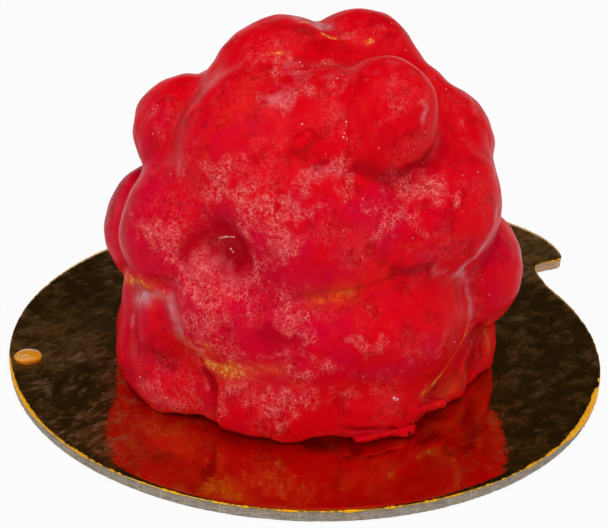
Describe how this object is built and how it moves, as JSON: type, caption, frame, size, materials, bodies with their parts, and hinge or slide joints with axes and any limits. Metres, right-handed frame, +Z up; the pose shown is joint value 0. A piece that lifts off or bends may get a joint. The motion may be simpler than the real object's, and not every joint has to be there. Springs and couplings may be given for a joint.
{
  "type": "glazed mousse cake",
  "caption": "Small mousse cake moulded as a cluster of round lobes, under a glossy red glaze, standing on a round gold cake board with a pull tab.",
  "frame": {"origin": "centre of the board's disc, on the board's flat underside", "axes": "+Z up from the board through the cake; -Y is the cake's front; the board's pull tab is at the rear right, between +X and +Y"},
  "size_m": [0.08, 0.0869, 0.0484],
  "materials": {
    "red_glaze": "gloss",
    "grey_card": "matte",
    "gold_film": "polished",
    "amber_syrup": "gloss"
  },
  "bodies": {
    "root": {"glazed_cake": "red_glaze", "board_card": "grey_card", "board_film": "gold_film", "syrup_drop": "amber_syrup"}
  },
  "joints": []
}
